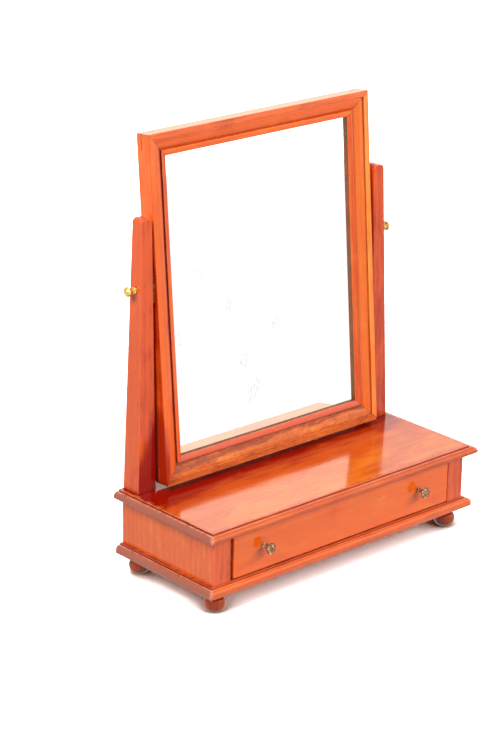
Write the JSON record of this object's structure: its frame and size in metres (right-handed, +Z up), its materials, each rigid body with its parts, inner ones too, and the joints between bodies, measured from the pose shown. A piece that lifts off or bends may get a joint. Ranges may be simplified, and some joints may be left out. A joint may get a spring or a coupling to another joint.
{
  "type": "vanity mirror with drawer",
  "caption": "Free-standing toilet mirror: a moulded frame swings between tapered uprights on a low case with a knobbed drawer, moulded edges and turned bun feet.",
  "frame": {"origin": "middle of the whole object in plan, on the surface that the feet stand on", "axes": "+X to the right seen from the front, +Y to the back, +Z up; the drawer opens towards -Y"},
  "size_m": [0.48, 0.2118, 0.5838],
  "materials": {
    "polished_wood": "french polished, high gloss",
    "drawer_lining": "planed, unpolished",
    "brass": "polished",
    "aged_brass": "darkened with age",
    "steel": "plain",
    "silvered_glass": "silvered"
  },
  "bodies": {
    "base": {"top_board": "polished_wood", "plinth_board": "polished_wood", "case_back_board": "drawer_lining", "left_side_panel": "polished_wood", "right_side_panel": "polished_wood", "left_front_stile": "polished_wood", "right_front_stile": "polished_wood", "left_drawer_guide": "drawer_lining", "right_drawer_guide": "drawer_lining", "drawer_stops": "drawer_lining", "left_upright_block": "drawer_lining", "right_upright_block": "drawer_lining", "top_glue_blocks": "drawer_lining", "left_upright": "polished_wood", "right_upright": "polished_wood", "upright_screws": "steel", "plinth_screws": "steel", "front_left_foot": "polished_wood", "front_right_foot": "polished_wood", "back_left_foot": "polished_wood", "back_right_foot": "polished_wood"},
    "drawer": {"drawer_front": "polished_wood", "drawer_left_side": "drawer_lining", "drawer_right_side": "drawer_lining", "drawer_back": "drawer_lining", "drawer_bottom": "drawer_lining", "drawer_bottom_pins": "steel", "left_drawer_knob": "aged_brass", "right_drawer_knob": "aged_brass", "drawer_knob_nuts": "brass"},
    "mirror": {"frame_top_rail": "polished_wood", "frame_bottom_rail": "polished_wood", "frame_left_stile": "polished_wood", "frame_right_stile": "polished_wood", "frame_corner_keys": "polished_wood", "mirror_glass": "silvered_glass", "mirror_backboard": "drawer_lining", "backboard_sprigs": "steel", "left_pivot_plate": "brass", "right_pivot_plate": "brass", "pivot_plate_screws": "brass", "left_pivot_washer": "brass", "right_pivot_washer": "brass"},
    "left_pivot_screw": {"left_pivot_screw": "brass"},
    "right_pivot_screw": {"right_pivot_screw": "brass"}
  },
  "joints": [
    {"name": "mirror_swing", "type": "hinge", "parent": "base", "child": "mirror", "pos_m": [0, 0.07737, 0.38907], "axis": [1, 0, 0], "continuous": true},
    {"name": "drawer_slide", "type": "slide", "parent": "base", "child": "drawer", "axis": [0, -1, 0], "range_m": [0, 0.125]},
    {"name": "left_pivot_turn", "type": "hinge", "parent": "mirror", "child": "left_pivot_screw", "pos_m": [-0.21441, 0.07737, 0.38907], "axis": [-1, 0, 0], "range_deg": [0, 360]},
    {"name": "right_pivot_turn", "type": "hinge", "parent": "mirror", "child": "right_pivot_screw", "pos_m": [0.21441, 0.07737, 0.38907], "axis": [1, 0, 0], "range_deg": [0, 360]}
  ]
}
